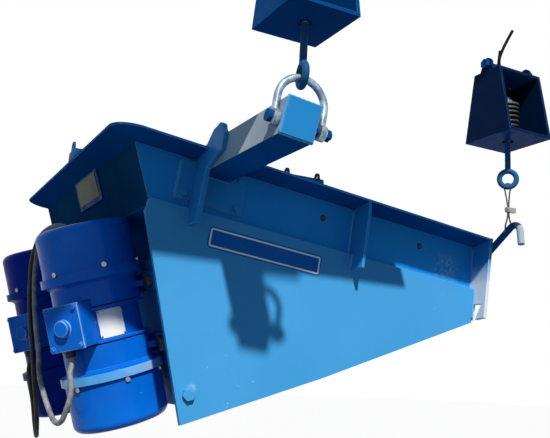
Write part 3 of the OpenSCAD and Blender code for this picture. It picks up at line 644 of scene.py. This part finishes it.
# %% Four springs
def spring(name, foot, top, outside, bar, turns):
    """A closed and ground compression spring standing on foot."""
    length = top - foot.z
    bm = bmesh.new()
    ring = bmesh.ops.create_circle(bm, segments=12, radius=bar / 2)["verts"]
    bmesh.ops.rotate(bm, verts=ring, cent=(0, 0, 0), matrix=Matrix.Rotation(math.radians(90), 3, "X"))
    bmesh.ops.translate(bm, verts=ring, vec=foot + Vector(((outside - bar) / 2, 0, bar * 0.25)))
    start = bm.edges[:]
    closed_rise = bar * 1.02
    open_rise = (length - bar * 0.5 - 2 * closed_rise) / (turns - 2)
    edge = start
    for count, rise in ((1, closed_rise), (turns - 2, open_rise), (1, closed_rise)):
        steps = round(count * 28)
        made = bmesh.ops.spin(bm, geom=edge, cent=foot, axis=(0, 0, 1), angle=math.tau * count,
                              dvec=(0, 0, rise * count / steps), steps=steps, use_merge=False)
        edge = edges_of(made["geom_last"])
    for end in (start, edge):
        live = [e for e in end if e.is_valid]
        bmesh.ops.holes_fill(bm, edges=live, sides=0)
    bmesh.ops.remove_doubles(bm, verts=bm.verts, dist=1e-6)
    skim = 0.00005
    for z, way in ((foot.z + skim, -1), (top - skim, 1)):
        cut = bmesh.ops.bisect_plane(bm, geom=bm.verts[:] + bm.edges[:] + bm.faces[:],
                                     plane_co=(0, 0, z), plane_no=(0, 0, way), clear_outer=True)
        bmesh.ops.holes_fill(bm, edges=edges_of(cut["geom_cut"]), sides=0)
    bmesh.ops.recalc_face_normals(bm, faces=bm.faces)
    obj = finished("coil_" + name[7:], bm, wire, None, name)
    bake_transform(obj)
    print(name, "winds", turns, "turns in", round(length, 4), "m")


BOX_FLOOR, SPRING_LENGTH = 0.008, 0.096
for name in ("spring_rear_near", "spring_rear_far", "spring_front_near", "spring_front_far"):
    low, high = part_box(name.replace("spring", "box"))
    foot = Vector(((low[0] + high[0]) / 2, (low[1] + high[1]) / 2, low[2] + BOX_FLOOR))
    spring(name, foot, foot.z + SPRING_LENGTH, outside=0.067, bar=0.008, turns=7.5)

# %% [markdown]
# ## Wire slings
#
# Each front corner hangs on an endless wire sling: one loop under the hook and
# one through the eye, with a clip holding its two falls together. It is again
# one round line, this time closed. Its width across the hook and the eye comes
# from those bars, with a hair of clearance.

# %% Two slings
def sling_route(s):
    """One endless loop, from the hook's underside round the eye and back."""
    a, b, c, rise = 12.0, 10.0, 2.9, 124.0      # half widths at hook, eye and clip; hook to eye
    climb, turned = math.radians(39), math.radians(46)
    way = []
    for t in range(180, 361, 20):
        q = math.radians(t)
        way.append((a * math.cos(q), -a * math.sin(q) * math.sin(climb),
                    a * math.sin(q) * math.cos(climb)))
    way += [(a * 0.93, 0, 12), (c + 1.5, 0.6, 34), (c, 1, 50), (c, 1, 66)]
    for t in (-50, -25, 0, 25, 50, 75, 100, 125, 150, 175, 195):
        q = math.radians(t)
        x = b * math.cos(q)
        way.append((x * math.cos(turned), -x * math.sin(turned), rise + b * math.sin(q)))
    way += [(-c, -1, 66), (-c, -1, 50), (-c - 1.5, -0.6, 34), (-a * 0.93, 0, 12)]
    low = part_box("slings")[0]
    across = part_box("box_front_near" if s < 0 else "box_front_far")
    spot = Vector(((across[0][0] + across[1][0]) / 2, (across[0][1] + across[1][1]) / 2,
                   low[2] + SLING_D / 2 + 0.012 * math.cos(climb)))
    return [spot + Vector((x, -s * y, z)) * mm for x, y, z in way]


for s, name in ((-1, "sling_near"), (1, "sling_far")):
    loop, length = round_line(name, sling_route(s), SLING_D, sling_wire, "trough", closed=True)
    if s < 0:
        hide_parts("slings")

# %% [markdown]
# ## Weld beads
#
# Every joint between plates is a fillet weld: a row of small overlapping
# ripples laid by hand. At arm's length the ripples catch the light one by one.
# A six-sided ring is pushed along the seam step by step with the extrude
# operator, and each step is made a little wider or narrower than the last.

# %% Beads along the seams
RIPPLE = 0.006      # from one ripple of a bead to the next


def bead(bm, start, end, radius):
    """One rippled bead from start to end."""
    along = end - start
    count = max(2, round(along.length / RIPPLE))
    turn = along.to_track_quat("Z", "Y").to_matrix().to_4x4()
    ring = bmesh.ops.create_circle(bm, segments=6, radius=radius,
                                   matrix=Matrix.Translation(start) @ turn)["verts"]
    edges = list({e for v in ring for e in v.link_edges})
    first, centre, size = edges, start.copy(), 1.0
    for i in range(count):
        made = bmesh.ops.extrude_edge_only(bm, edges=edges)["geom"]
        ring = verts_of(made)
        edges = [e for e in edges_of(made) if all(v in ring for v in e.verts)]
        centre = centre + along / count
        bmesh.ops.translate(bm, verts=ring, vec=along / count)
        new_size = 1.0 + 0.16 * (1 if i % 2 else -1) + 0.07 * math.sin(i * 2.3)
        bmesh.ops.scale(bm, verts=ring, vec=(new_size / size,) * 3, space=Matrix.Translation(-centre))
        size = new_size
    for end_edges in (first, edges):
        bmesh.ops.holes_fill(bm, edges=[e for e in end_edges if e.is_valid], sides=0)


def seams(name, matrix, lines, finish, radius):
    """One piece with a bead along each line, which is given in matrix's frame."""
    bm = bmesh.new()
    for start, end in lines:
        bead(bm, matrix @ Vector(start), matrix @ Vector(end), radius)
    bmesh.ops.recalc_face_normals(bm, faces=bm.faces)
    obj = finished(name, bm, finish, "trough")
    print(name, "has", len(lines), "beads,", len(obj.data.polygons), "faces")


# %% Seams of the pan
both = (-1, 1)
WALL_Y, SIDE_Y, PAD_Y = 0.480, 0.500, 0.488     # outer faces of wall, side frame and arm pad
RIB_X = (0.556, 0.564)                          # the two faces of a wall rib


def both_sides(y, *ends):
    """The same seams on both sides of the pan; ends are x, z, x, z."""
    return [((x0, s * y, z0), (x1, s * y, z1)) for x0, z0, x1, z1 in ends for s in both]


lines = both_sides(WALL_Y, (0.004, 0.002, 0.972, 0.002), (0.974, 0.002, 0.974, 0.123),
                   (0.060, 0.022, 0.098, 0.022), (0.110, 0.022, 0.232, 0.022),
                   (0.060, 0.022, 0.060, 0.118), (0.232, 0.022, 0.232, 0.118),
                   *((x, 0.004, x, 0.123) for x in RIB_X))
lines += both_sides(PAD_Y, (0.185, 0.091, 0.185, 0.122), (0.110, 0.091, 0.185, 0.091))
lines += both_sides(SIDE_Y, (0.974, -0.086, 0.974, -0.002), *((x, -0.037, x, -0.002) for x in RIB_X))
# The ledge beads carry the paler weld blue: a painted highlight along the ledge.
seams("pan_welds", pan, lines, weld_highlight_paint, 0.0036)

# %% Beads round the arm ends and the drive plate
ARM_A, ARM_B, ARM_LOW, ARM_TOP, ARM_REACH = 0.110, 0.185, 0.091, 0.166, 0.885
lines = []
for s in both:
    low_y, top_y = s * ARM_REACH, s * (ARM_REACH + 0.016)
    a, b = (ARM_A, low_y, ARM_LOW), (ARM_B, low_y, ARM_LOW)
    c, d = (ARM_A, top_y, ARM_TOP), (ARM_B, top_y, ARM_TOP)
    lines += [(a, b), (a, c), (b, d), (c, d)]
seams("arm_welds", pan, lines, weld_highlight_paint, 0.0028)
lines = [((x, s * 0.487, -0.23), (x, s * 0.487, 0.136)) for s in both for x in (0.063, 0.083)]
seams("drive_welds", plate_frame, lines, pan_paint, 0.004)

# %% [markdown]
# ## Closing plates of the hanger boxes
#
# On the side that faces the pan each hanger box is closed by a thin plate,
# which leaves the inside of the box dark, so that the spring is seen only from
# outside. It is a tapered panel between the two side plates, made from one face
# that is cut to its outline and given a thickness.

# %% Four closing plates
for name in ("box_rear_near", "box_rear_far", "box_front_near", "box_front_far"):
    low, high = (Vector(c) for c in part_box(name))
    mid_x, mid_y = (low.x + high.x) / 2, (low.y + high.y) / 2
    way = 1 if mid_y < middle_y else -1
    half_width, foot_y, head_y = 0.0695, mid_y + way * 0.0835, mid_y + way * 0.0532
    base, top, thick = low.z + 0.0085, low.z + 0.1895, 0.005
    bm = bmesh.new()
    face = bm.faces.new([bm.verts.new((mid_x + x * half_width, y, z)) for x, y, z in (
        (-1, foot_y, base), (1, foot_y, base), (1, head_y, top), (-1, head_y, top))])
    slab = bmesh.ops.extrude_face_region(bm, geom=[face])["geom"]
    bmesh.ops.translate(bm, verts=verts_of(slab), vec=(0, -way * thick, 0))
    bmesh.ops.recalc_face_normals(bm, faces=bm.faces)
    soften(bm, 0.0008)
    # The front boxes' closing plates take the darker copy: painted shade.
    paint = box_paint if "rear" in name else front_box_shade_paint
    finished(name + "_closing_plate", bm, paint, "root")
print("four closing plates")

# %% [markdown]
# ## Plates, badge and fasteners
#
# Machines of this kind carry a rating plate on each motor, a data plate on the
# rear wall and a painted badge on the side. Here they are left blank. The motor
# plate is bent round the barrel, so it is spun from an upright line about the
# shaft and then given a thickness. The badge is one face with rounded corners,
# inset twice to leave a pale line between two dark fields.

# %% Plain finishes for plates
plate_white = enamel("rating_plate", (0.90, 0.88, 0.86), (0.97, 0.95, 0.93), (0.55, 0.55, 0.54),
                     (0.35, 0.33, 0.30), rough=0.36, dust=0.1, gloss=0.3)
plate_cream = enamel("data_plate", (0.20, 0.19, 0.135), (0.34, 0.32, 0.235), (0.14, 0.14, 0.12),
                     (0.10, 0.09, 0.07), rough=0.5, dust=0.2)
badge_blue = enamel("badge_blue", (0.008, 0.120, 0.42), (0.014, 0.150, 0.48), (0.05, 0.12, 0.3),
                    (0.2, 0.3, 0.4), rough=0.34, dust=0.08)
badge_line = enamel("badge_line", (0.80, 0.84, 0.88), (0.90, 0.92, 0.95), (0.8, 0.85, 0.9),
                    (0.2, 0.3, 0.5), rough=0.4, dust=0.04, gloss=0.2)
print("plates:", plate_white.name, plate_cream.name, badge_blue.name, badge_line.name)

# %% Motor rating plates
PLATE_R, RIVET_R = 0.0973, 0.0988       # from the shaft
for s, side_name in ((-1, "near"), (1, "far")):
    bm = bmesh.new()
    first, last = math.radians(250), math.radians(286)
    bm.edges.new([bm.verts.new((PLATE_R * math.cos(first), PLATE_R * math.sin(first), z))
                  for z in (-0.0335, 0.0335)])
    bmesh.ops.spin(bm, geom=bm.verts[:] + bm.edges[:], cent=(0, 0, 0), axis=(0, 0, 1), dvec=(0, 0, 0),
                   angle=last - first, steps=10, use_merge=False)
    bmesh.ops.recalc_face_normals(bm, faces=bm.faces)
    bmesh.ops.solidify(bm, geom=bm.faces[:], thickness=0.0012)
    bmesh.ops.recalc_face_normals(bm, faces=bm.faces)
    soften(bm, 0.0004, 40, 1)
    bmesh.ops.transform(bm, matrix=motor_frame(s), verts=bm.verts)
    finished("rating_plate_" + side_name, bm, plate_white, "trough")
    rivets = bmesh.new()
    for q in (math.radians(252), math.radians(284)):
        for z in (-0.029, 0.029):
            dome = bmesh.ops.create_uvsphere(rivets, u_segments=10, v_segments=6, radius=0.0024)["verts"]
            bmesh.ops.translate(rivets, verts=dome, vec=(RIVET_R * math.cos(q), RIVET_R * math.sin(q), z))
    bmesh.ops.transform(rivets, matrix=motor_frame(s), verts=rivets.verts)
    finished("plate_rivets_" + side_name, rivets, steel, "trough")
print("two rating plates with rivets")

# %% Lid screws and earth studs
def hex_head(bm, place, radius, height):
    """A hexagon head with a washer under it, standing on place's Z."""
    head = bmesh.ops.create_cone(bm, cap_ends=True, segments=6, radius1=radius, radius2=radius,
                                 depth=height)["verts"]
    bmesh.ops.translate(bm, verts=head, vec=(0, 0, height / 2 + 0.0012))
    wide, thick = radius * 1.35, 0.0014
    washer = bmesh.ops.create_cone(bm, cap_ends=True, segments=16, radius1=wide, radius2=wide,
                                   depth=thick)["verts"]
    bmesh.ops.translate(bm, verts=washer, vec=(0, 0, thick / 2))
    bmesh.ops.transform(bm, matrix=place, verts=head + washer)


tip_back = Matrix.Rotation(math.radians(-90), 4, "Y")
for s, side_name in ((-1, "near"), (1, "far")):
    bm = bmesh.new()
    lid = motor_frame(s) @ turn40
    for y in (-0.039, 0.039):
        for z in (-0.0335, 0.0555):
            hex_head(bm, lid @ Matrix.Translation((-0.1504, y, z)) @ tip_back, 0.0058, 0.0050)
    stud = motor_frame(s) @ Matrix.Rotation(math.radians(244), 4, "Z")
    hex_head(bm, stud @ Matrix.Translation((0.096, 0, 0.006)) @ tip_back.inverted(), 0.0075, 0.0075)
    soften(bm, 0.0006, 40, 1)
    finished("motor_screws_" + side_name, bm, motor_paint, "trough")
print("lid screws and studs on two motors")

# %% Badge on the near side plate
face_out = Matrix.Rotation(math.radians(90), 4, "X")
bm = bmesh.new()
bmesh.ops.create_grid(bm, x_segments=1, y_segments=1, size=0.5)
bmesh.ops.scale(bm, verts=bm.verts, vec=(0.312, 0.052, 1))
bmesh.ops.bevel(bm, geom=bm.verts[:], offset=0.009, offset_type="OFFSET", affect="VERTICES",
                segments=5, profile=0.5, material=-1)
for thickness, finish_number in ((0.0035, 0), (0.0042, 1)):
    field = [f for f in bm.faces if len(f.verts) > 8]
    ring = bmesh.ops.inset_region(bm, faces=field, thickness=thickness, depth=0, use_boundary=True,
                                  use_even_offset=True)["faces"]
    for face in ring:
        face.material_index = finish_number
shell = bmesh.ops.extrude_face_region(bm, geom=bm.faces[:])["geom"]
bmesh.ops.translate(bm, verts=verts_of(shell), vec=(0, 0, 0.0008))
bmesh.ops.recalc_face_normals(bm, faces=bm.faces)
on_side = pan @ Matrix.Translation((0.311, -0.5002, -0.0525)) @ face_out
bmesh.ops.transform(bm, matrix=on_side, verts=bm.verts)
badge = finished("blank_badge", bm, [badge_blue, badge_line], "trough", smooth=False)
print("badge with", len(badge.data.polygons), "faces")

# %% Data plate on the rear wall
lean = math.atan2(60, 125)
wall_spot = pan @ Matrix.Translation((-0.045, -0.045, 0.0938)) @ Matrix.Rotation(-lean, 4, "Y")
for name, size, back, edge, finish, slot in (
        ("data_plate_pad", (0.006, 0.232, 0.092), -0.0029, 0.0012, box_paint, "box_paint"),
        ("data_plate", (0.0012, 0.196, 0.068), -0.0066, 0.0005, plate_cream, "zinc")):
    bm = bmesh.new()
    bmesh.ops.create_cube(bm, size=1)
    bmesh.ops.scale(bm, verts=bm.verts, vec=size)
    bmesh.ops.translate(bm, verts=bm.verts, vec=(back, 0, 0))
    soften(bm, edge)
    bmesh.ops.transform(bm, matrix=wall_spot, verts=bm.verts)
    finished(name, bm, finish, "trough")
print("data plate on its pad")

# %% Wall plugs and pad bolts
def outward(u, s, y, h):
    """A place on side s of the pan, with its Z pointing out."""
    return pan @ Matrix.Translation((u, s * y, h)) @ (face_out if s < 0 else face_out.inverted())


bm = bmesh.new()
for u, h in ((0.465, 0.078), (0.782, 0.081)):
    for s in both:
        plug = bmesh.ops.create_cone(bm, cap_ends=True, segments=20, radius1=0.0085,
                                     radius2=0.0065, depth=0.003)["verts"]
        spot = outward(u, s, WALL_Y, h) @ Matrix.Translation((0, 0, 0.0014))
        bmesh.ops.transform(bm, matrix=spot, verts=plug)
soften(bm, 0.0006, 40, 1)
finished("wall_plugs", bm, rubber, "trough")
bm = bmesh.new()
for u, h in ((0.078, 0.034), (0.216, 0.034), (0.216, 0.104)):
    for s in both:
        hex_head(bm, outward(u, s, PAD_Y, h), 0.0085, 0.006)
soften(bm, 0.0008, 40, 1)
finished("pad_bolts", bm, pan_paint, "trough")
print("plugs and pad bolts")

# %% [markdown]
# ## Stage and light
#
# The machine is shown in a plain white studio. The floor is a large pale sheet
# below it. The lamps stay at a plain level; the white background comes from
# Light Path, which shows the camera and mirror-like surfaces a white world
# while the machine itself is lit by a calm blue one, like open sky. One strong
# lamp stands for the sun. Two cards out of sight, which a studio calls a flag,
# keep it off the upper part of the pan.

# %% White studio
bpy.context.scene.view_settings.view_transform = "Standard"


def white_behind(tree, shader_out, white_out):
    """Show white_out to the camera, to gloss and to glass, and shader_out to the rest."""
    path = node(tree, "ShaderNodeLightPath").outputs
    seen = path["Is Camera Ray"]
    for other in ("Is Glossy Ray", "Is Transmission Ray"):
        seen = node(tree, "ShaderNodeMath", [(0, seen), (1, path[other])], operation="MAXIMUM").outputs[0]
    return node(tree, "ShaderNodeMixShader", [(0, seen), (1, shader_out), (2, white_out)]).outputs[0]


world = bpy.data.worlds.new("studio")
bpy.context.scene.world = world
world.use_nodes = True
tree = world.node_tree
soft_sky = tree.nodes["Background"]
soft_sky.inputs["Color"].default_value = (0.36, 0.66, 1.0, 1)
soft_sky.inputs["Strength"].default_value = 0.30
white = node(tree, "ShaderNodeBackground", [("Color", (1, 1, 1, 1)), ("Strength", 1.0)])
tree.links.new(white_behind(tree, soft_sky.outputs[0], white.outputs[0]),
               tree.nodes["World Output"].inputs["Surface"])
print("world is white behind the machine")

# %% Floor
def staged(name, bm, finish):
    """A piece of the studio, which isn't part of the machine."""
    mesh = bpy.data.meshes.new(name)
    bm.to_mesh(mesh)
    bm.free()
    mesh.materials.append(finish)
    obj = bpy.data.objects.new(name, mesh)
    bpy.context.scene.collection.objects.link(obj)
    return obj


floor_white, tree, shader = material("floor_white")
shader.inputs["Base Color"].default_value = (0.10, 0.12, 0.15, 1)
shader.inputs["Roughness"].default_value = 0.9
glow = node(tree, "ShaderNodeEmission", [("Color", (1, 1, 1, 1)), ("Strength", 1.0)])
nearly_white = node(tree, "ShaderNodeMixShader", [(0, 0.96), (1, shader.outputs[0]), (2, glow.outputs[0])])
tree.links.new(white_behind(tree, shader.outputs[0], nearly_white.outputs[0]),
               tree.nodes["Material Output"].inputs["Surface"])
floor_z = cad_box[0][2] - 0.32
bm = bmesh.new()
bmesh.ops.create_grid(bm, x_segments=1, y_segments=1, size=14)
bmesh.ops.translate(bm, verts=bm.verts, vec=(0.3, middle_y, floor_z))
staged("floor", bm, floor_white)
print("floor at z", round(floor_z, 3))

# %% Lamps
def lamp(name, kind, spot, aim, power, size, colour):
    """A lamp at spot, turned to aim; size is a disk's width or the sun's angle."""
    data = bpy.data.lights.new(name, kind)
    data.energy, data.color = power, colour
    if kind == "AREA":
        data.shape, data.size = "DISK", size
    else:
        data.angle = math.radians(size)
    obj = bpy.data.objects.new(name, data)
    bpy.context.scene.collection.objects.link(obj)
    turn = (aim - spot).to_track_quat("-Z", "Y").to_matrix().to_4x4()
    obj.matrix_world = Matrix.Translation(spot) @ turn


centre = Vector((0.3, middle_y, -0.6))
lamp("key", "SUN", centre + Vector((-0.318, -1.0, 1.036)) * 3.2, centre, 4.2, 2.2, (1.0, 0.98, 0.94))
lamp("fill", "AREA", centre + Vector((-3.5, -2.0, -0.6)), centre, 3, 2.5, (0.8, 0.9, 1.0))
print("two lamps")

# %% Flag
CARD_HEIGHT = 0.2
bm = bmesh.new()
for (rear_u, front_u), (rear_edge, front_edge) in (((-0.5, 0.625), (-0.868, -0.752)),
                                                   ((0.625, 1.1), (-0.668, -0.668))):
    card = bmesh.ops.create_grid(bm, x_segments=1, y_segments=1, size=0.5)["verts"]
    for vert in card:
        u, edge = (front_u, front_edge) if vert.co.x > 0 else (rear_u, rear_edge)
        vert.co = (u, 0 if vert.co.y > 0 else edge, CARD_HEIGHT)
bmesh.ops.transform(bm, matrix=pan, verts=bm.verts)
flag = staged("flag", bm, floor_white)
flag.visible_camera = flag.visible_glossy = flag.visible_diffuse = flag.visible_transmission = False
print("flag of two cards")
